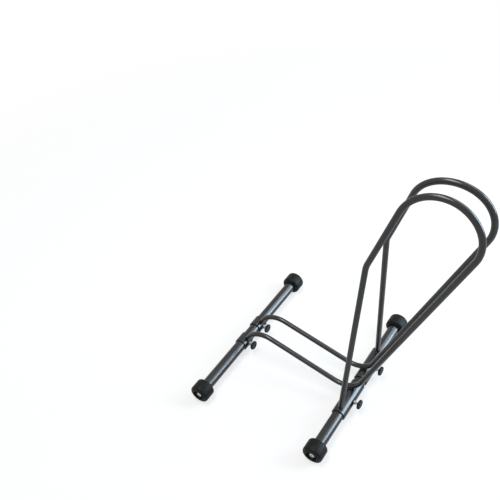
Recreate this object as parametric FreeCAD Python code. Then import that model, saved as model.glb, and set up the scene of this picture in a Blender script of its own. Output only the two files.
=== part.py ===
"""Floor rack: two bent tube hoops stand side by side and leave a slot between them.

Each hoop is one tube, welded to a short rear sleeve and a long front sleeve. The
sleeves slide along two crossbars, so the slot can be set wider or narrower, and a
knob on each sleeve clamps it. The crossbars end in round rubber feet.

X runs from the rear crossbar to the front one, Y to the left and Z up. The floor is
Z = 0 and the slot's mid plane is Y = 0. The shapes are drawn with the rear crossbar
at X = 0 and moved at the end, so that the origin lies under the middle of the rack.
"""
import FreeCAD, Part
import math
import os
from FreeCAD import Vector

# Driving dimensions, in millimetres and degrees.

# Crossbars
bar_spacing = 304.0
bar_length = 422.0
bar_diameter = 27.0
bar_wall = 1.5

# Rubber feet, pushed over the ends of the crossbars
foot_diameter = 47.0
foot_socket_depth = 22.0
foot_web = 6.0
foot_recess_depth = 8.0
foot_recess_diameter = 26.0
foot_edge_radius = 4.5
foot_recess_edge = 1.0

# Screw, washer and tube plug that hold each foot
foot_screw_diameter = 6.0
foot_screw_length = 22.0
foot_screw_head_diameter = 12.0
foot_screw_head_height = 3.6
foot_screw_head_edge = 1.2
foot_screw_drive_width = 4.0
foot_screw_drive_depth = 2.0
foot_washer_diameter = 16.0
foot_washer_thickness = 1.2
foot_hole_clearance = 0.25
plug_length = 20.0

# Sleeves
sleeve_diameter = 33.0
sleeve_slide_clearance = 0.3
sleeve_edge = 0.6
rear_sleeve_length = 30.0
front_sleeve_length = 98.0
front_sleeve_gap = 11.0

# Hoop tube
hoop_diameter = 12.0
hoop_wall = 1.5
weld_sink = 1.0

# Lower part of the hoop: tail, arch, lower run and heel
run_offset = 32.0
run_slope = 13.7
tail_angle = 57.0
arch_radius = 60.0
heel_radius = 57.0
heel_seat_angle = 116.5

# Upper part of the hoop: rise, loop and leg
rise_angle = 68.0
loop_width = 150.0
loop_flat = 3.0
loop_centre_height = 547.0
loop_front_offset = 29.5
loop_back_offset = 20.0
leg_bend_height = 438.0
leg_bend_reach = 16.0
leg_bend_offset = 44.0
leg_bend_radius = 45.0
leg_foot_inset = 8.0

# Clamps
clamp_screw_diameter = 6.0
clamp_screw_clearance = 0.05
clamp_tip_gap = 0.3
clamp_nut_width = 10.0
clamp_nut_height = 3.5
knob_gap = 4.0
knob_diameter = 23.0
knob_thickness = 8.0
knob_edge_radius = 2.5
knob_socket_depth = 5.5
knob_flutes = 8
knob_flute_radius = 3.0
knob_flute_depth = 1.2

# Sizes that follow from them
axis_height = foot_diameter / 2
sleeve_radius = sleeve_diameter / 2
sleeve_bore = bar_diameter / 2 + sleeve_slide_clearance
hoop_radius = hoop_diameter / 2
bar_end = bar_length / 2
foot_floor = bar_end + foot_web
foot_end = foot_floor + foot_recess_depth
front_sleeve_inner = front_sleeve_gap / 2
front_sleeve_outer = front_sleeve_inner + front_sleeve_length
front_clamp_offset = front_sleeve_inner + front_sleeve_length / 2
leg_foot_offset = front_sleeve_outer - leg_foot_inset
nut_face = sleeve_radius + clamp_nut_height
knob_start = nut_face + knob_gap
clamp_hole_radius = clamp_screw_diameter / 2

tolerance = 1e-6

RIGHT, LEFT = -1, 1
SIDES = {"right": RIGHT, "left": LEFT}
BARS = {"rear": 0.0, "front": bar_spacing}
REAR_SLEEVE = (run_offset - rear_sleeve_length / 2, run_offset + rear_sleeve_length / 2)
FRONT_SLEEVE = (front_sleeve_inner, front_sleeve_outer)


# Plain solids

def rod_y(x, start, end, radius):
    """Cylinder along Y on a crossbar's axis."""
    low = min(start, end)
    return Part.makeCylinder(radius, abs(end - start), Vector(x, low, axis_height), Vector(0, 1, 0))


def rod_x(x, y, length, radius):
    """Cylinder along X at the height of the crossbars."""
    return Part.makeCylinder(radius, length, Vector(x, y, axis_height), Vector(1, 0, 0))


def hexagon_x(x, y, length, width):
    """Hexagonal bar along X, as wide as stated across its flats."""
    corner = width / 2 / math.cos(math.pi / 6)
    turns = [math.pi / 3 * k for k in range(7)]
    points = [Vector(x, y + corner * math.cos(a), axis_height + corner * math.sin(a)) for a in turns]
    return Part.Face(Part.makePolygon(points)).extrude(Vector(length, 0, 0))


def rim_edges(solid, radius):
    """The circular edges of one radius."""
    circles = [e for e in solid.Edges if isinstance(e.Curve, Part.Circle)]
    return [e for e in circles if abs(e.Curve.Radius - radius) < tolerance]


# Crossbars and feet

def crossbar(x):
    outside = rod_y(x, -bar_end, bar_end, bar_diameter / 2)
    return outside.cut(rod_y(x, -bar_end, bar_end, bar_diameter / 2 - bar_wall))


def foot(x, side):
    """Rubber cap: socket for the bar, a web for the screw and a recess for its head."""
    body = rod_y(x, side * (bar_end - foot_socket_depth), side * foot_end, foot_diameter / 2)
    body = body.makeFillet(foot_edge_radius, rim_edges(body, foot_diameter / 2))
    body = body.cut(rod_y(x, side * (bar_end - foot_socket_depth), side * bar_end, bar_diameter / 2))
    body = body.cut(rod_y(x, side * foot_floor, side * foot_end, foot_recess_diameter / 2))
    mouth = [e for e in rim_edges(body, foot_recess_diameter / 2)
             if abs(e.Curve.Center.y - side * foot_end) < tolerance]
    body = body.makeFillet(foot_recess_edge, mouth)
    hole = foot_screw_diameter / 2 + foot_hole_clearance
    return body.cut(rod_y(x, side * bar_end, side * foot_floor, hole))


def tube_plug(x, side):
    """Insert in the end of the bar, which the foot screw is driven into."""
    inner = bar_end - plug_length
    plug = rod_y(x, side * inner, side * bar_end, bar_diameter / 2 - bar_wall)
    return plug.cut(rod_y(x, side * inner, side * bar_end, foot_screw_diameter / 2))


def foot_washer(x, side):
    top = foot_floor + foot_washer_thickness
    disc = rod_y(x, side * foot_floor, side * top, foot_washer_diameter / 2)
    hole = foot_screw_diameter / 2 + foot_hole_clearance
    return disc.cut(rod_y(x, side * foot_floor, side * top, hole))


def foot_screw(x, side):
    """Round-headed screw with a square drive, from the washer into the plug."""
    seat = foot_floor + foot_washer_thickness
    top = seat + foot_screw_head_height
    head = rod_y(x, side * seat, side * top, foot_screw_head_diameter / 2)
    outer = [e for e in rim_edges(head, foot_screw_head_diameter / 2)
             if abs(e.Curve.Center.y - side * top) < tolerance]
    head = head.makeFillet(foot_screw_head_edge, outer)
    low = min(side * top, side * (top - foot_screw_drive_depth))
    half = foot_screw_drive_width / 2
    corner = Vector(x - half, low, axis_height - half)
    drive = Part.makeBox(foot_screw_drive_width, foot_screw_drive_depth, foot_screw_drive_width, corner)
    shank = rod_y(x, side * (seat - foot_screw_length), side * seat, foot_screw_diameter / 2)
    return head.cut(drive).fuse(shank).removeSplitter()


# Hoop path, drawn in the XZ plane first

def heading(angle):
    """Unit direction in the XZ plane, measured up from +X."""
    return Vector(math.cos(math.radians(angle)), 0, math.sin(math.radians(angle)))


def crossing(point, direction, other, other_direction):
    """Where two lines in the XZ plane meet."""
    across = direction.x * other_direction.z - direction.z * other_direction.x
    gap = other - point
    distance = (gap.x * other_direction.z - gap.z * other_direction.x) / across
    return point + direction * distance


def at_offset(point, offset):
    return Vector(point.x, offset, point.z)


def hoop_corners():
    """Corners of the left hoop's centre line, from the rear sleeve to the leg's foot."""
    front_axis = Vector(bar_spacing, 0, axis_height)
    rear_axis = Vector(0, 0, axis_height)
    run = heading(-run_slope)
    rise = heading(rise_angle)
    out = heading(rise_angle - 90)
    seat_distance = heel_radius + sleeve_radius + hoop_radius - weld_sink
    heel_centre = front_axis + heading(heel_seat_angle) * seat_distance
    run_end = heel_centre + heading(-run_slope - 90) * heel_radius
    rise_start = heel_centre + out * heel_radius

    half = loop_width / 2
    mid_start = rise_start - out * half
    loop_centre = mid_start + rise * ((loop_centre_height - mid_start.z) / rise.z)
    top = rise * (half - loop_flat / 2)
    leg_bend = Vector(bar_spacing + leg_bend_reach, leg_bend_offset, leg_bend_height)
    return [
        at_offset(rear_axis, run_offset),
        at_offset(crossing(rear_axis, heading(tail_angle), run_end, run), run_offset),
        at_offset(crossing(run_end, run, rise_start, rise), run_offset),
        at_offset(loop_centre + out * half + top, loop_front_offset),
        at_offset(loop_centre - out * half + top, loop_back_offset),
        leg_bend,
        at_offset(front_axis, leg_foot_offset),
    ]


def bend_radii():
    loop_radius = (loop_width - loop_flat) / 2
    return [arch_radius, heel_radius, loop_radius, loop_radius, leg_bend_radius]


def bend(before, corner, after, radius):
    """Tangent arc at a corner, as its start, middle and end."""
    back = (before - corner).normalize()
    ahead = (after - corner).normalize()
    half_angle = back.getAngle(ahead) / 2
    setback = radius / math.tan(half_angle)
    inward = (back + ahead).normalize()
    depth = radius / math.sin(half_angle) - radius
    return corner + back * setback, corner + inward * depth, corner + ahead * setback


def hoop_path():
    """Centre line as straight runs joined by tangent arcs."""
    corners = hoop_corners()
    edges = []
    here = corners[0]
    for k, radius in enumerate(bend_radii(), start=1):
        start, middle, end = bend(corners[k - 1], corners[k], corners[k + 1], radius)
        edges.append(Part.LineSegment(here, start).toShape())
        edges.append(Part.Arc(start, middle, end).toShape())
        here = end
    edges.append(Part.LineSegment(here, corners[-1]).toShape())
    return Part.Wire(edges)


def swept(path, radius):
    """Solid rod along the path."""
    start = path.Edges[0]
    begin = start.FirstParameter
    ring = Part.makeCircle(radius, start.valueAt(begin), start.tangentAt(begin))
    return path.makePipeShell([Part.Wire(ring)], True, True)


def hoop(side):
    """Bent tube, shaped at both ends and at its heel to sit on the sleeves."""
    path = hoop_path()
    tube = swept(path, hoop_radius).cut(swept(path, hoop_radius - hoop_wall))
    tube = tube.cut(rod_y(BARS["rear"], REAR_SLEEVE[0], REAR_SLEEVE[1], sleeve_radius))
    tube = tube.cut(rod_y(BARS["front"], FRONT_SLEEVE[0], FRONT_SLEEVE[1], sleeve_radius))
    return tube if side == LEFT else tube.mirror(Vector(0, 0, 0), Vector(0, 1, 0))


# Sleeves and clamps

def sleeve(x, span, clamp, side):
    body = rod_y(x, side * span[0], side * span[1], sleeve_radius)
    body = body.makeChamfer(sleeve_edge, rim_edges(body, sleeve_radius))
    body = body.cut(rod_y(x, side * span[0], side * span[1], sleeve_bore))
    return body.cut(rod_x(x, side * clamp, sleeve_diameter, clamp_hole_radius))


def clamp_nut(x, span, clamp, side):
    """Hexagonal nut welded to the sleeve, shaped to its round wall."""
    nut = hexagon_x(x, side * clamp, nut_face, clamp_nut_width)
    nut = nut.cut(rod_y(x, side * span[0], side * span[1], sleeve_radius))
    return nut.cut(rod_x(x, side * clamp, nut_face, clamp_hole_radius))


def clamp_screw(x, clamp, side):
    """Threaded shank, from just clear of the bar to the bottom of the knob's socket."""
    tip = bar_diameter / 2 + clamp_tip_gap
    length = knob_start + knob_socket_depth - tip
    return rod_x(x + tip, side * clamp, length, clamp_hole_radius - clamp_screw_clearance)


def knob(x, clamp, side):
    """Round grip with flutes and a blind socket for the shank."""
    start = x + knob_start
    body = rod_x(start, side * clamp, knob_thickness, knob_diameter / 2)
    body = body.makeFillet(knob_edge_radius, rim_edges(body, knob_diameter / 2))
    ring = knob_diameter / 2 + knob_flute_radius - knob_flute_depth
    for k in range(knob_flutes):
        turn = 2 * math.pi * k / knob_flutes
        base = Vector(start, side * clamp + ring * math.cos(turn), axis_height + ring * math.sin(turn))
        body = body.cut(Part.makeCylinder(knob_flute_radius, knob_thickness, base, Vector(1, 0, 0)))
    return body.cut(rod_x(start, side * clamp, knob_socket_depth, clamp_hole_radius))


# The whole rack

def stand_nodes():
    nodes = {}
    screws, washers = [], []
    for bar, x in BARS.items():
        nodes[bar + "_crossbar"] = crossbar(x)
        for name, side in SIDES.items():
            nodes[bar + "_" + name + "_foot"] = foot(x, side)
            nodes[bar + "_" + name + "_tube_plug"] = tube_plug(x, side)
            screws.append(foot_screw(x, side))
            washers.append(foot_washer(x, side))
    nodes["foot_screws"] = Part.makeCompound(screws)
    nodes["foot_washers"] = Part.makeCompound(washers)
    return nodes


def hoop_nodes(name, side):
    nodes = {name + "_hoop": hoop(side)}
    for bar, span, clamp in (("rear", REAR_SLEEVE, run_offset), ("front", FRONT_SLEEVE, front_clamp_offset)):
        x = BARS[bar]
        label = name + "_" + bar
        nodes[label + "_sleeve"] = sleeve(x, span, clamp, side)
        nodes[label + "_clamp_nut"] = clamp_nut(x, span, clamp, side)
        nodes[label + "_clamp_screw"] = clamp_screw(x, clamp, side)
        nodes[label + "_knob"] = knob(x, clamp, side)
    return nodes


def centring_shift():
    """Move along X that puts the origin halfway along the rack."""
    front = hoop_path().BoundBox.XMax + hoop_radius
    rear = -foot_diameter / 2
    return -(front + rear) / 2


def main():
    os.makedirs("parts", exist_ok=True)
    nodes = stand_nodes()
    for name, side in SIDES.items():
        nodes.update(hoop_nodes(name, side))
    shift = centring_shift()
    for node, shape in nodes.items():
        shape.translate(Vector(shift, 0, 0))
        shape.exportStep("parts/" + node + ".step")
        box = shape.BoundBox
        print("%-26s solids %d valid %s volume %9.1f mm3  x %.1f..%.1f y %.1f..%.1f z %.1f..%.1f" % (
            node, len(shape.Solids), shape.isValid(), shape.Volume,
            box.XMin, box.XMax, box.YMin, box.YMax, box.ZMin, box.ZMax))
    print("shift %.4f" % shift)
    for corner in hoop_corners():
        print("corner %.1f %.1f %.1f" % (corner.x + shift, corner.y, corner.z))


main()
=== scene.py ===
"""Looks for the floor rack: enamelled steel tube, rubber feet and knobs on zinc plated screws."""
import math

import bmesh
import bpy
from mathutils import Matrix, Vector


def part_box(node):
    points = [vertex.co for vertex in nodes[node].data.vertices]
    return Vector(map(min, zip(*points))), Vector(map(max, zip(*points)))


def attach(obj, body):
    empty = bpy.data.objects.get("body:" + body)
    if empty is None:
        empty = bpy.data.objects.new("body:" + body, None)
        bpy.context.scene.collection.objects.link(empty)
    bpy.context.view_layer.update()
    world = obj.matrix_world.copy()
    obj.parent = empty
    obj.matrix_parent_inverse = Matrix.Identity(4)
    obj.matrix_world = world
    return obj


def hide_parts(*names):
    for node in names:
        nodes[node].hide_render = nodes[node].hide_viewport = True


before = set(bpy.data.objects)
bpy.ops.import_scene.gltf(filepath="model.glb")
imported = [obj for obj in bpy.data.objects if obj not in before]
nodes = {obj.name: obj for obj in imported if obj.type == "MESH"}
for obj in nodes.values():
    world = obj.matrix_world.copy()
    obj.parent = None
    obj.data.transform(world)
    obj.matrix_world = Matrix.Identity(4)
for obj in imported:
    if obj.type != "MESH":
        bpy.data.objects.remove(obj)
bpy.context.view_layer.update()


# ---------------------------------------------------------------------------
# Crossbars. Two straight steel tubes, sprayed with a charcoal enamel that holds fine
# metal flake. It dries a little uneven, and the hoops and sleeves get the same coat.
# ---------------------------------------------------------------------------

BARS = ("rear", "front")
FLECK_SCALE, WAVE_SCALE = 1400, 35
ENAMEL_DARK, ENAMEL_LIGHT = (0.019, 0.018, 0.0173), (0.036, 0.035, 0.0345)
ENAMEL_METALLIC = 0.78
ENAMEL_ROUGHNESS = (0.27, 0.34)
ENAMEL_SPECULAR = 0.3
ENAMEL_TINT = (0.5, 0.5, 0.52, 1)
WAVE_DEPTH, WAVE_STRENGTH = 0.0006, 0.1
GLOSS_WEIGHT, GLOSS_ROUGHNESS = 0.45, 0.12


def new_material(name, metallic=0.0, roughness=0.5):
    material = bpy.data.materials.new(name)
    material.use_nodes = True
    shader = material.node_tree.nodes["Principled BSDF"]
    shader.inputs["Metallic"].default_value = metallic
    shader.inputs["Roughness"].default_value = roughness
    return material, shader


def surface_noise(material, scale, detail=3.0):
    """Noise that stays fixed to the surface, from 0 to 1."""
    tree = material.node_tree
    place = tree.nodes.new("ShaderNodeTexCoord")
    noise = tree.nodes.new("ShaderNodeTexNoise")
    noise.inputs["Scale"].default_value = scale
    noise.inputs["Detail"].default_value = detail
    tree.links.new(place.outputs["Object"], noise.inputs["Vector"])
    return noise.outputs["Fac"]


def spread(material, source, limits, source_limits=(0.3, 0.7)):
    """Turns noise, which keeps to the middle of its range, into a range of values."""
    tree = material.node_tree
    remap = tree.nodes.new("ShaderNodeMapRange")
    remap.inputs["From Min"].default_value, remap.inputs["From Max"].default_value = source_limits
    remap.inputs["To Min"].default_value, remap.inputs["To Max"].default_value = limits
    tree.links.new(source, remap.inputs["Value"])
    return remap.outputs["Result"]


def two_tone(material, source, dark, light):
    """Blends between two colours by noise."""
    tree = material.node_tree
    ramp = tree.nodes.new("ShaderNodeValToRGB")
    stops = ((0.32, dark), (0.68, light))
    for element, (position, colour) in zip(ramp.color_ramp.elements, stops):
        element.position = position
        element.color = (*colour, 1)
    tree.links.new(source, ramp.inputs["Fac"])
    return ramp.outputs["Color"]


def bump(material, source, depth, strength):
    tree = material.node_tree
    node = tree.nodes.new("ShaderNodeBump")
    node.inputs["Distance"].default_value = depth
    node.inputs["Strength"].default_value = strength
    tree.links.new(source, node.inputs["Height"])
    return node.outputs["Normal"]


def flake_enamel():
    """Metal flake in a dark binder: small flecks, a slow unevenness and a clear gloss on top."""
    material, shader = new_material("flake_enamel", ENAMEL_METALLIC)
    tree = material.node_tree
    flecks = surface_noise(material, FLECK_SCALE, 2.0)
    waves = surface_noise(material, WAVE_SCALE)
    colour = two_tone(material, flecks, ENAMEL_DARK, ENAMEL_LIGHT)
    tree.links.new(colour, shader.inputs["Base Color"])
    tree.links.new(spread(material, waves, ENAMEL_ROUGHNESS), shader.inputs["Roughness"])
    tree.links.new(bump(material, waves, WAVE_DEPTH, WAVE_STRENGTH), shader.inputs["Normal"])
    shader.inputs["Specular IOR Level"].default_value = ENAMEL_SPECULAR
    shader.inputs["Specular Tint"].default_value = ENAMEL_TINT
    shader.inputs["Coat Weight"].default_value = GLOSS_WEIGHT
    shader.inputs["Coat Roughness"].default_value = GLOSS_ROUGHNESS
    return material


def dress(node, material):
    """Gives a CAD node its finish."""
    nodes[node].data.materials.clear()
    nodes[node].data.materials.append(material)


enamel = flake_enamel()
for bar in BARS:
    dress(bar + "_crossbar", enamel)


# ---------------------------------------------------------------------------
# Tube plugs, foot screws and washers. The plugs are moulded nylon, pushed into the ends
# of the bars. The screws and washers are zinc plated steel, and the screws' heads are bright.
# ---------------------------------------------------------------------------

SIDES = {"right": -1, "left": 1}
NYLON_DARK, NYLON_LIGHT = (0.04, 0.04, 0.04), (0.06, 0.06, 0.06)
NYLON_GRAIN_SCALE, NYLON_GRAIN_DEPTH, NYLON_GRAIN_STRENGTH = 900, 0.0001, 0.3
ZINC_DARK, ZINC_LIGHT = (0.40, 0.41, 0.42), (0.58, 0.59, 0.60)
ZINC_CLOUD_SCALE = 260
ZINC_ROUGHNESS = (0.2, 0.38)


def moulded_nylon():
    material, shader = new_material("moulded_nylon")
    tree = material.node_tree
    grain = surface_noise(material, NYLON_GRAIN_SCALE)
    relief = bump(material, grain, NYLON_GRAIN_DEPTH, NYLON_GRAIN_STRENGTH)
    tree.links.new(two_tone(material, grain, NYLON_DARK, NYLON_LIGHT), shader.inputs["Base Color"])
    tree.links.new(relief, shader.inputs["Normal"])
    return material


def zinc_plate():
    material, shader = new_material("zinc_plate", 1.0)
    tree = material.node_tree
    clouds = surface_noise(material, ZINC_CLOUD_SCALE)
    tree.links.new(two_tone(material, clouds, ZINC_DARK, ZINC_LIGHT), shader.inputs["Base Color"])
    tree.links.new(spread(material, clouds, ZINC_ROUGHNESS), shader.inputs["Roughness"])
    return material


nylon = moulded_nylon()
zinc = zinc_plate()
for bar in BARS:
    for side in SIDES:
        dress(bar + "_" + side + "_tube_plug", nylon)
dress("foot_screws", zinc)
dress("foot_washers", zinc)


# ---------------------------------------------------------------------------
# Feet. Thick black rubber cups, pushed over the ends of the bars and screwed on. They are
# moulded with a collar round the bar, soft shoulders, shallow ribs and a raised ring
# round the screw's recess.
# ---------------------------------------------------------------------------

SOCKET_DEPTH = 0.022
WEB = 0.006
RECESS_RADIUS = 0.013
SCREW_HOLE = 0.00325
RING_RADIUS = 0.0148
RING_EDGE = 0.0014
COLLAR_WALL = 0.003
COLLAR_STEP = 0.0012
SHOULDER = 0.0055
RIBS = 30
RIB_DEPTH = 0.0003
POINTS_PER_RIB = 6
RUBBER_DARK, RUBBER_LIGHT = (0.003, 0.003, 0.003), (0.006, 0.0058, 0.0056)
RUBBER_GRAIN_SCALE, RUBBER_GRAIN_DEPTH, RUBBER_GRAIN_STRENGTH = 1100, 0.0001, 0.2
DUST_SCALE = 70
RUBBER_ROUGHNESS = (0.38, 0.5)
RUBBER_SPECULAR = 0.12


def rubber():
    material, shader = new_material("foot_rubber")
    tree = material.node_tree
    grain = surface_noise(material, RUBBER_GRAIN_SCALE, 4.0)
    dust = surface_noise(material, DUST_SCALE)
    relief = bump(material, grain, RUBBER_GRAIN_DEPTH, RUBBER_GRAIN_STRENGTH)
    tree.links.new(two_tone(material, dust, RUBBER_DARK, RUBBER_LIGHT), shader.inputs["Base Color"])
    tree.links.new(spread(material, dust, RUBBER_ROUGHNESS), shader.inputs["Roughness"])
    tree.links.new(relief, shader.inputs["Normal"])
    shader.inputs["Specular IOR Level"].default_value = RUBBER_SPECULAR
    return material


def mesh_piece(name, points, faces, material, smooth=True):
    """A closed mesh as a piece of its own, with its faces turned outwards."""
    mesh = bpy.data.meshes.new(name)
    mesh.from_pydata(points, [], faces)
    sheet = bmesh.new()
    sheet.from_mesh(mesh)
    bmesh.ops.recalc_face_normals(sheet, faces=sheet.faces)
    sheet.to_mesh(mesh)
    sheet.free()
    mesh.polygons.foreach_set("use_smooth", [smooth] * len(mesh.polygons))
    mesh.materials.append(material)
    piece = bpy.data.objects.new(name, mesh)
    bpy.context.scene.collection.objects.link(piece)
    return piece


def ring_faces(rows, columns, closed=False):
    """Quads between rows of points, each row a ring. If closed, the last row joins the first."""
    faces = []
    for i in range(rows if closed else rows - 1):
        for j in range(columns):
            row, after, beside = i * columns, (i + 1) % rows * columns, (j + 1) % columns
            faces.append((row + j, row + beside, after + beside, after + j))
    return faces


def arc_points(centre, radius, start, end, count=6):
    """Points on an arc of a profile, as (depth, radius) pairs."""
    angles = [math.radians(start + (end - start) * k / (count - 1)) for k in range(count)]
    return [(centre[0] + radius * math.cos(a), centre[1] + radius * math.sin(a)) for a in angles]


def foot_profile(length, outer, socket):
    """Closed outline of the cup. Depth runs from 0 at its mouth to length at its outer face."""
    floor = SOCKET_DEPTH + WEB
    collar = socket + COLLAR_WALL
    face = length - RING_EDGE
    points = [(SOCKET_DEPTH, socket), (0.0, socket)]
    points += arc_points((RING_EDGE / 2, collar - RING_EDGE / 2), RING_EDGE / 2, 180, 90, 4)
    points += [(COLLAR_STEP, collar)]
    points += arc_points((COLLAR_STEP + SHOULDER, outer - SHOULDER), SHOULDER, 180, 90)
    points += arc_points((face - SHOULDER, outer - SHOULDER), SHOULDER, 90, 0)
    points += [(face, RING_RADIUS + RING_EDGE)]
    points += arc_points((face, RING_RADIUS), RING_EDGE, 90, 0, 4)
    points += arc_points((face, RECESS_RADIUS + RING_EDGE), RING_EDGE, 0, -90, 4)
    points += [(floor, RECESS_RADIUS), (floor, SCREW_HOLE), (SOCKET_DEPTH, SCREW_HOLE)]
    return points


def foot_moulding(name, sign, bar_radius):
    low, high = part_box(name)
    axis_x, axis_z = (low.x + high.x) / 2, (low.z + high.z) / 2
    outer = (high.z - low.z) / 2
    mouth = low.y if sign > 0 else high.y
    profile = foot_profile(high.y - low.y, outer, bar_radius)
    turns = RIBS * POINTS_PER_RIB
    points = []
    for depth, radius in profile:
        for k in range(turns):
            angle = 2 * math.pi * k / turns
            in_groove = radius > outer - SHOULDER / 2 and k % POINTS_PER_RIB == 0
            reach = radius - RIB_DEPTH if in_groove else radius
            points.append((axis_x + reach * math.cos(angle), mouth + sign * depth,
                           axis_z + reach * math.sin(angle)))
    return points, ring_faces(len(profile), turns, True)


foot_rubber = rubber()
for bar in BARS:
    bar_low, bar_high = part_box(bar + "_crossbar")
    for side, sign in SIDES.items():
        name = bar + "_" + side + "_foot"
        points, faces = foot_moulding(name, sign, (bar_high.z - bar_low.z) / 2)
        cup = mesh_piece(name + "_moulding", points, faces, foot_rubber)
        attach(cup, "base")
        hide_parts(name)


# ---------------------------------------------------------------------------
# Sleeves. Two steel tubes for each hoop, a short one over the rear crossbar and a long one
# over the front one, free to slide. They are welded to the hoop and painted with it.
# ---------------------------------------------------------------------------

for side in SIDES:
    for bar in BARS:
        dress(side + "_" + bar + "_sleeve", enamel)


# ---------------------------------------------------------------------------
# Hoops. Each is one steel tube, bent in a machine: an arch at the rear, a heel on the front
# sleeve, a wide loop at the top and a leg that comes back down to the same sleeve.
# ---------------------------------------------------------------------------

for side in SIDES:
    dress(side + "_hoop", enamel)


# ---------------------------------------------------------------------------
# Weld beads. They close the joints between hoop and sleeves: around the tail on the rear
# sleeve, around the leg's foot and beside the heel on the front one. Painted over.
# ---------------------------------------------------------------------------

TUBE_RADIUS = 0.006
SLEEVE_RADIUS = 0.0165
RUN_OFFSET = 0.032
TAIL_ANGLE = math.radians(57)
HEEL_ANGLE = math.radians(116.5)
HEEL_BEAD = (0.0062, 0.0046)
LEG_FOOT_OFFSET = 0.0955
LEG_BEND_REACH, LEG_BEND_OFFSET, LEG_BEND_HEIGHT = 0.016, 0.044, 0.438
BEAD_RADIUS = 0.0018
BEAD_POINTS = 48
BEAD_SIDES = 10
RIPPLES, RIPPLE_SHARE = 13, 0.1


def bar_axis(bar):
    low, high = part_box(bar + "_crossbar")
    return (low.x + high.x) / 2, (low.z + high.z) / 2


def saddle(axis_x, axis_z, foot, direction):
    """Where a tube's outside meets the round of a sleeve: a closed line round the tube."""
    along = direction.normalized()
    first = along.orthogonal().normalized()
    second = along.cross(first)
    slope = along.x ** 2 + along.z ** 2
    line = []
    for k in range(BEAD_POINTS):
        turn = 2 * math.pi * k / BEAD_POINTS
        edge = foot + (first * math.cos(turn) + second * math.sin(turn)) * TUBE_RADIUS
        out_x, out_z = edge.x - axis_x, edge.z - axis_z
        half = (out_x * along.x + out_z * along.z) / slope
        rest = (out_x ** 2 + out_z ** 2 - SLEEVE_RADIUS ** 2) / slope
        line.append(edge + along * (math.sqrt(half ** 2 - rest) - half))
    return line


def oval(axis_x, axis_z, side_offset, angle, half_sizes):
    """An oval laid on the round of a sleeve, about one point of it."""
    line = []
    for k in range(BEAD_POINTS):
        turn = 2 * math.pi * k / BEAD_POINTS
        place = angle - half_sizes[0] * math.cos(turn) / SLEEVE_RADIUS
        line.append(Vector((axis_x + SLEEVE_RADIUS * math.cos(place),
                            side_offset + half_sizes[1] * math.sin(turn),
                            axis_z + SLEEVE_RADIUS * math.sin(place))))
    return line


def bead(name, line, body):
    """A rope of weld metal along a closed line, with the ripples that each pass leaves."""
    centre = sum(line, Vector()) / len(line)
    points = []
    for k, here in enumerate(line):
        ahead = (line[(k + 1) % len(line)] - line[k - 1]).normalized()
        outward = (here - centre).cross(ahead).cross(ahead).normalized()
        across = ahead.cross(outward)
        ripple = math.sin(2 * math.pi * RIPPLES * k / len(line))
        radius = BEAD_RADIUS * (1 + RIPPLE_SHARE * ripple)
        for j in range(BEAD_SIDES):
            turn = 2 * math.pi * j / BEAD_SIDES
            points.append(here + (outward * math.cos(turn) + across * math.sin(turn)) * radius)
    piece = mesh_piece(name, points, ring_faces(len(line), BEAD_SIDES, True), enamel)
    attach(piece, body)


rear_x, rear_z = bar_axis("rear")
front_x, front_z = bar_axis("front")
for side, sign in SIDES.items():
    body = side + "_hoop_body"
    tail = Vector((math.cos(TAIL_ANGLE), 0, math.sin(TAIL_ANGLE)))
    tail_foot = Vector((rear_x, sign * RUN_OFFSET, rear_z))
    bead(side + "_tail_weld", saddle(rear_x, rear_z, tail_foot, tail), body)
    leg_foot = Vector((front_x, sign * LEG_FOOT_OFFSET, front_z))
    leg_bend = Vector((front_x + LEG_BEND_REACH, sign * LEG_BEND_OFFSET, LEG_BEND_HEIGHT))
    bead(side + "_leg_weld", saddle(front_x, front_z, leg_foot, leg_bend - leg_foot), body)
    heel = oval(front_x, front_z, sign * RUN_OFFSET, HEEL_ANGLE, HEEL_BEAD)
    bead(side + "_heel_weld", heel, body)


# ---------------------------------------------------------------------------
# Clamp nuts. Hexagonal steel nuts with chamfered corners, welded to the sleeves over a
# hole, so that the clamp screws have a thread to turn in.
# ---------------------------------------------------------------------------

NUT_WIDTH = 0.010
NUT_CHAMFER = 0.0006
NUT_ROUNDING = 0.0002
NUT_SEAT = 0.0155
NUT_COLUMNS = 48
THREAD_RADIUS = 0.00295
THREAD_CLEARANCE = 0.00005


def around(axis, depth, radius, turn):
    """A point at some depth and radius about an axis that runs along X."""
    return axis[0] + depth, axis[1] + radius * math.sin(turn), axis[2] + radius * math.cos(turn)


def clamp_nut(name, axis, face):
    """A hexagon with its outer corners chamfered, sunk a little into the wall of its sleeve."""
    half = math.pi / 6
    corner = NUT_WIDTH / 2 / math.cos(half)
    bore = THREAD_RADIUS + THREAD_CLEARANCE
    rows = [(NUT_SEAT, corner, True), (face - NUT_CHAMFER, corner, True),
            (face, NUT_WIDTH / 2 - NUT_ROUNDING, False), (face, THREAD_RADIUS + NUT_CHAMFER, False),
            (face - NUT_CHAMFER, bore, False), (NUT_SEAT, bore, False)]
    points = []
    for depth, reach, hexagonal in rows:
        for k in range(NUT_COLUMNS):
            turn = 2 * math.pi * k / NUT_COLUMNS
            radius = reach
            if hexagonal:
                radius = reach * math.cos(half) / math.cos((turn + half) % (2 * half) - half)
            points.append(around(axis, depth, radius, turn))
    faces = ring_faces(len(rows), NUT_COLUMNS, True)
    return mesh_piece(name, points, faces, zinc, smooth=False)


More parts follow.
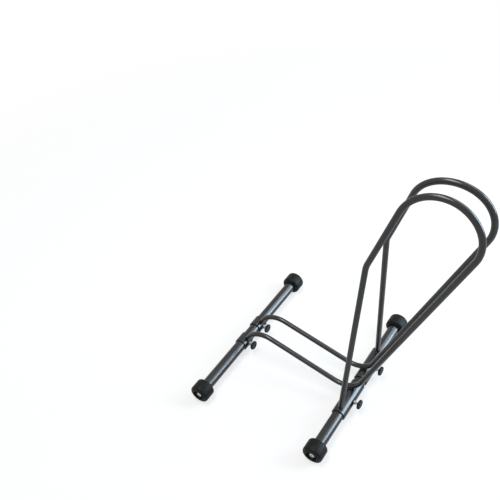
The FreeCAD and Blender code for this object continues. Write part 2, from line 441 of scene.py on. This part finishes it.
clamp_axes = {}
for side in SIDES:
    for bar in BARS:
        label = side + "_" + bar
        low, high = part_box(label + "_clamp_nut")
        bar_x, bar_z = bar_axis(bar)
        clamp_axes[label] = (bar_x, (low.y + high.y) / 2, bar_z)
        nut = clamp_nut(label + "_hex_nut", clamp_axes[label], high.x - bar_x)
        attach(nut, side + "_hoop_body")
        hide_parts(label + "_clamp_nut")


# ---------------------------------------------------------------------------
# Clamp screws. Zinc plated M6 threaded rods, cut to length, that press on the crossbar
# when the knob is turned in. A bare stretch shows between the nut and the knob.
# ---------------------------------------------------------------------------

THREAD_PITCH = 0.001
THREAD_DEPTH = 0.0005
THREAD_STEPS = 8
THREAD_COLUMNS = 32
RIDGE_STEEPNESS = 2.4


def capped_faces(rows, columns):
    """Quads between rows of points, and a flat face at each end."""
    first = tuple(range(columns))
    last = tuple(range((rows - 1) * columns, rows * columns))
    return ring_faces(rows, columns) + [first, last]


def threaded_rod(name, axis, start, end):
    """One helical ridge with flat crests, tapered off at both ends and closed by flat faces."""
    count = round((end - start) / THREAD_PITCH * THREAD_STEPS)
    points = []
    for i in range(count + 1):
        depth = start + (end - start) * i / count
        room = min(depth - start, end - depth)
        limit = THREAD_RADIUS - THREAD_DEPTH + min(room, THREAD_DEPTH)
        for k in range(THREAD_COLUMNS):
            turn = 2 * math.pi * k / THREAD_COLUMNS
            phase = (depth / THREAD_PITCH - k / THREAD_COLUMNS) % 1.0
            ridge = min(1.0, RIDGE_STEEPNESS * abs(phase - 0.5))
            radius = min(limit, THREAD_RADIUS - THREAD_DEPTH * (1 - ridge))
            points.append(around(axis, depth, radius, turn))
    return mesh_piece(name, points, capped_faces(count + 1, THREAD_COLUMNS), zinc)


for label, axis in clamp_axes.items():
    node = label + "_clamp_screw"
    low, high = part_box(node)
    rod = threaded_rod(label + "_threaded_rod", axis, low.x - axis[0], high.x - axis[0])
    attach(rod, node + "_body")
    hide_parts(node)


# ---------------------------------------------------------------------------
# Knobs. Small round grips of black plastic, moulded over the ends of the screws, with a
# neck, eight shallow flutes to hold and a dished outer face.
# ---------------------------------------------------------------------------

KNOB_FLUTES = 8
FLUTE_DEPTH = 0.0012
FLUTE_SHARPNESS = 1.5
KNOB_EDGE = 0.0025
NECK_RADIUS = 0.0065
NECK_LENGTH = 0.0012
NECK_FLARE = 0.0003
KNOB_SOCKET = 0.0055
DISH_RADIUS = 0.0078
DISH_DEPTH = 0.0008
DISH_SLOPE = 0.0006
SMALL_EDGE = 0.0004
KNOB_COLUMNS = 96
PLASTIC_DARK, PLASTIC_LIGHT = (0.004, 0.004, 0.004), (0.008, 0.008, 0.008)
PLASTIC_GRAIN_SCALE, PLASTIC_GRAIN_DEPTH, PLASTIC_GRAIN_STRENGTH = 1500, 0.0001, 0.35
PLASTIC_SPECULAR = 0.2


def knob_plastic():
    material, shader = new_material("knob_plastic")
    tree = material.node_tree
    grain = surface_noise(material, PLASTIC_GRAIN_SCALE, 4.0)
    relief = bump(material, grain, PLASTIC_GRAIN_DEPTH, PLASTIC_GRAIN_STRENGTH)
    colour = two_tone(material, grain, PLASTIC_DARK, PLASTIC_LIGHT)
    tree.links.new(colour, shader.inputs["Base Color"])
    tree.links.new(relief, shader.inputs["Normal"])
    shader.inputs["Specular IOR Level"].default_value = PLASTIC_SPECULAR
    return material


def knob_profile(length, outer, bore):
    """Outline of the grip, from the bottom of its socket over neck and rim to the dished face."""
    points = [(KNOB_SOCKET, bore), (0.0, bore), (0.0, NECK_RADIUS - SMALL_EDGE),
              (SMALL_EDGE, NECK_RADIUS), (NECK_LENGTH, NECK_RADIUS + NECK_FLARE)]
    points += arc_points((NECK_LENGTH + KNOB_EDGE, outer - KNOB_EDGE), KNOB_EDGE, 180, 90, 8)
    points += arc_points((length - KNOB_EDGE, outer - KNOB_EDGE), KNOB_EDGE, 90, 0, 8)
    points += arc_points((length - SMALL_EDGE, DISH_RADIUS + SMALL_EDGE), SMALL_EDGE, 0, -90, 3)
    points += [(length - DISH_DEPTH, DISH_RADIUS - DISH_SLOPE)]
    return points


def knob(name, axis, start, length, outer):
    profile = knob_profile(length, outer, THREAD_RADIUS + THREAD_CLEARANCE)
    points = []
    for depth, reach in profile:
        grip = max(0.0, (reach - DISH_RADIUS) / (outer - DISH_RADIUS))
        for k in range(KNOB_COLUMNS):
            turn = 2 * math.pi * k / KNOB_COLUMNS
            flute = max(0.0, math.cos(KNOB_FLUTES * turn)) ** FLUTE_SHARPNESS
            radius = reach - FLUTE_DEPTH * flute * grip
            points.append(around(axis, start + depth, radius, turn))
    faces = capped_faces(len(profile), KNOB_COLUMNS)
    return mesh_piece(name, points, faces, black_plastic)


black_plastic = knob_plastic()
for label, axis in clamp_axes.items():
    node = label + "_knob"
    low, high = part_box(node)
    grip = knob(label + "_grip", axis, low.x - axis[0], high.x - low.x, (high.z - low.z) / 2)
    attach(grip, node + "_body")
    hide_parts(node)


# ---------------------------------------------------------------------------
# Studio. A pale floor that fades into a white backdrop, a tall cool lamp to the left of the
# front end with a weaker one higher up, and a warm one overhead. All are soft.
# ---------------------------------------------------------------------------

FLOOR_REACH = 30.0
FLOOR_COLOUR = (0.8, 0.8, 0.8, 1)
FLOOR_ROUGHNESS, FLOOR_SPECULAR = 0.9, 0.1
FLOOR_GLOW = 0.7
FLOOR_FADE = (0.6, 2.0)
BACKDROP_COLOUR = (0.97, 0.98, 1.0, 1)
ROOM_LEVEL = 0.2
LAMP_TARGET = (0, 0, 0.25)


def background_rays(tree):
    """1 for rays that meet the white backdrop: the camera's, and what gloss and glass show."""
    path = tree.nodes.new("ShaderNodeLightPath")
    total = path.outputs["Is Camera Ray"]
    for kind in ("Is Glossy Ray", "Is Transmission Ray"):
        more = tree.nodes.new("ShaderNodeMath")
        more.operation = "MAXIMUM"
        tree.links.new(total, more.inputs[0])
        tree.links.new(path.outputs[kind], more.inputs[1])
        total = more.outputs[0]
    return total


def studio_floor():
    """Lit and shadowed near the rack, white to the camera and in reflections further out."""
    material, shader = new_material("studio_floor", roughness=FLOOR_ROUGHNESS)
    shader.inputs["Base Color"].default_value = FLOOR_COLOUR
    shader.inputs["Specular IOR Level"].default_value = FLOOR_SPECULAR
    tree = material.node_tree
    glow = tree.nodes.new("ShaderNodeEmission")
    glow.inputs["Color"].default_value = (1, 1, 1, 1)
    mix = tree.nodes.new("ShaderNodeMixShader")
    place = tree.nodes.new("ShaderNodeTexCoord")
    reach = tree.nodes.new("ShaderNodeVectorMath")
    reach.operation = "LENGTH"
    tree.links.new(place.outputs["Object"], reach.inputs[0])
    fade = tree.nodes.new("ShaderNodeMapRange")
    fade.inputs["From Min"].default_value, fade.inputs["From Max"].default_value = FLOOR_FADE
    fade.inputs["To Min"].default_value = FLOOR_GLOW
    fade.inputs["To Max"].default_value = 1.0
    tree.links.new(reach.outputs["Value"], fade.inputs["Value"])
    share = tree.nodes.new("ShaderNodeMath")
    share.operation = "MULTIPLY"
    tree.links.new(fade.outputs["Result"], share.inputs[1])
    tree.links.new(background_rays(tree), share.inputs[0])
    tree.links.new(share.outputs[0], mix.inputs["Fac"])
    tree.links.new(shader.outputs[0], mix.inputs[1])
    tree.links.new(glow.outputs[0], mix.inputs[2])
    tree.links.new(mix.outputs[0], tree.nodes["Material Output"].inputs["Surface"])
    return material


corners = ((-1, -1), (1, -1), (1, 1), (-1, 1))
floor_mesh = bpy.data.meshes.new("floor")
floor_points = [(FLOOR_REACH * x, FLOOR_REACH * y, 0) for x, y in corners]
floor_mesh.from_pydata(floor_points, [], [(0, 1, 2, 3)])
floor_mesh.materials.append(studio_floor())
floor = bpy.data.objects.new("floor", floor_mesh)
bpy.context.scene.collection.objects.link(floor)

world = bpy.data.worlds.new("studio")
bpy.context.scene.world = world
world.use_nodes = True
backdrop = world.node_tree.nodes["Background"]
backdrop.inputs["Color"].default_value = BACKDROP_COLOUR
level = world.node_tree.nodes.new("ShaderNodeMapRange")
level.inputs["To Min"].default_value = ROOM_LEVEL
level.inputs["To Max"].default_value = 1.0
world.node_tree.links.new(background_rays(world.node_tree), level.inputs["Value"])
world.node_tree.links.new(level.outputs["Result"], backdrop.inputs["Strength"])


def soft_lamp(name, place, width, height, watts, colour):
    """A rectangular softbox, turned towards LAMP_TARGET."""
    lamp = bpy.data.lights.new(name, "AREA")
    lamp.shape = "RECTANGLE"
    lamp.size, lamp.size_y = width, height
    lamp.energy = watts
    lamp.color = colour
    holder = bpy.data.objects.new(name, lamp)
    holder.location = place
    aim = Vector(LAMP_TARGET) - Vector(place)
    holder.rotation_euler = aim.to_track_quat("-Z", "Y").to_euler()
    bpy.context.scene.collection.objects.link(holder)


soft_lamp("window", place=(2.1, 1.55, 1.1), width=1.1, height=1.8,
          watts=115, colour=(0.62, 0.82, 1.0))
soft_lamp("window_top", place=(0.9, 1.9, 2.3), width=1.8, height=1.3,
          watts=42, colour=(0.75, 0.88, 1.0))
soft_lamp("overhead", place=(-0.7, -0.4, 3.0), width=2.2, height=1.1,
          watts=72, colour=(1.0, 0.98, 0.95))


# ---------------------------------------------------------------------------
# Camera. It stands where the photograph was taken from, to the right of the rack and in
# front of it, looking down. Azimuth turns about the rack, and tilt about the line of sight.
# ---------------------------------------------------------------------------

PHOTO_SIDE = 500
FOCAL_PIXELS = 621.5
PRINCIPAL_X, PRINCIPAL_Y = 250.0, 275.0
SENSOR = 36.0
AZIMUTH, ELEVATION, TILT = math.radians(38.31), math.radians(43.82), math.radians(-6.27)
CAMERA_FROM_REAR_BAR = 0.6564
CAMERA_Y, CAMERA_Z = -0.8102, 1.2266

back = Vector((math.sin(AZIMUTH) * math.cos(ELEVATION), -math.cos(AZIMUTH) * math.cos(ELEVATION),
               math.sin(ELEVATION)))
level_right = Vector((math.cos(AZIMUTH), math.sin(AZIMUTH), 0))
level_up = back.cross(level_right)
right = level_right * math.cos(TILT) + level_up * math.sin(TILT)
up = level_up * math.cos(TILT) - level_right * math.sin(TILT)
lens = bpy.data.cameras.new("camera")
lens.sensor_width = SENSOR
lens.lens = FOCAL_PIXELS * SENSOR / PHOTO_SIDE
lens.shift_x = (PHOTO_SIDE / 2 - PRINCIPAL_X) / PHOTO_SIDE
lens.shift_y = (PRINCIPAL_Y - PHOTO_SIDE / 2) / PHOTO_SIDE
lens.clip_start, lens.clip_end = 0.05, 100.0
camera = bpy.data.objects.new("camera", lens)
camera.matrix_world = Matrix(((right.x, up.x, back.x, rear_x + CAMERA_FROM_REAR_BAR),
                              (right.y, up.y, back.y, CAMERA_Y),
                              (right.z, up.z, back.z, CAMERA_Z),
                              (0, 0, 0, 1)))
bpy.context.scene.collection.objects.link(camera)
bpy.context.scene.camera = camera
bpy.context.scene.view_settings.view_transform = "Standard"
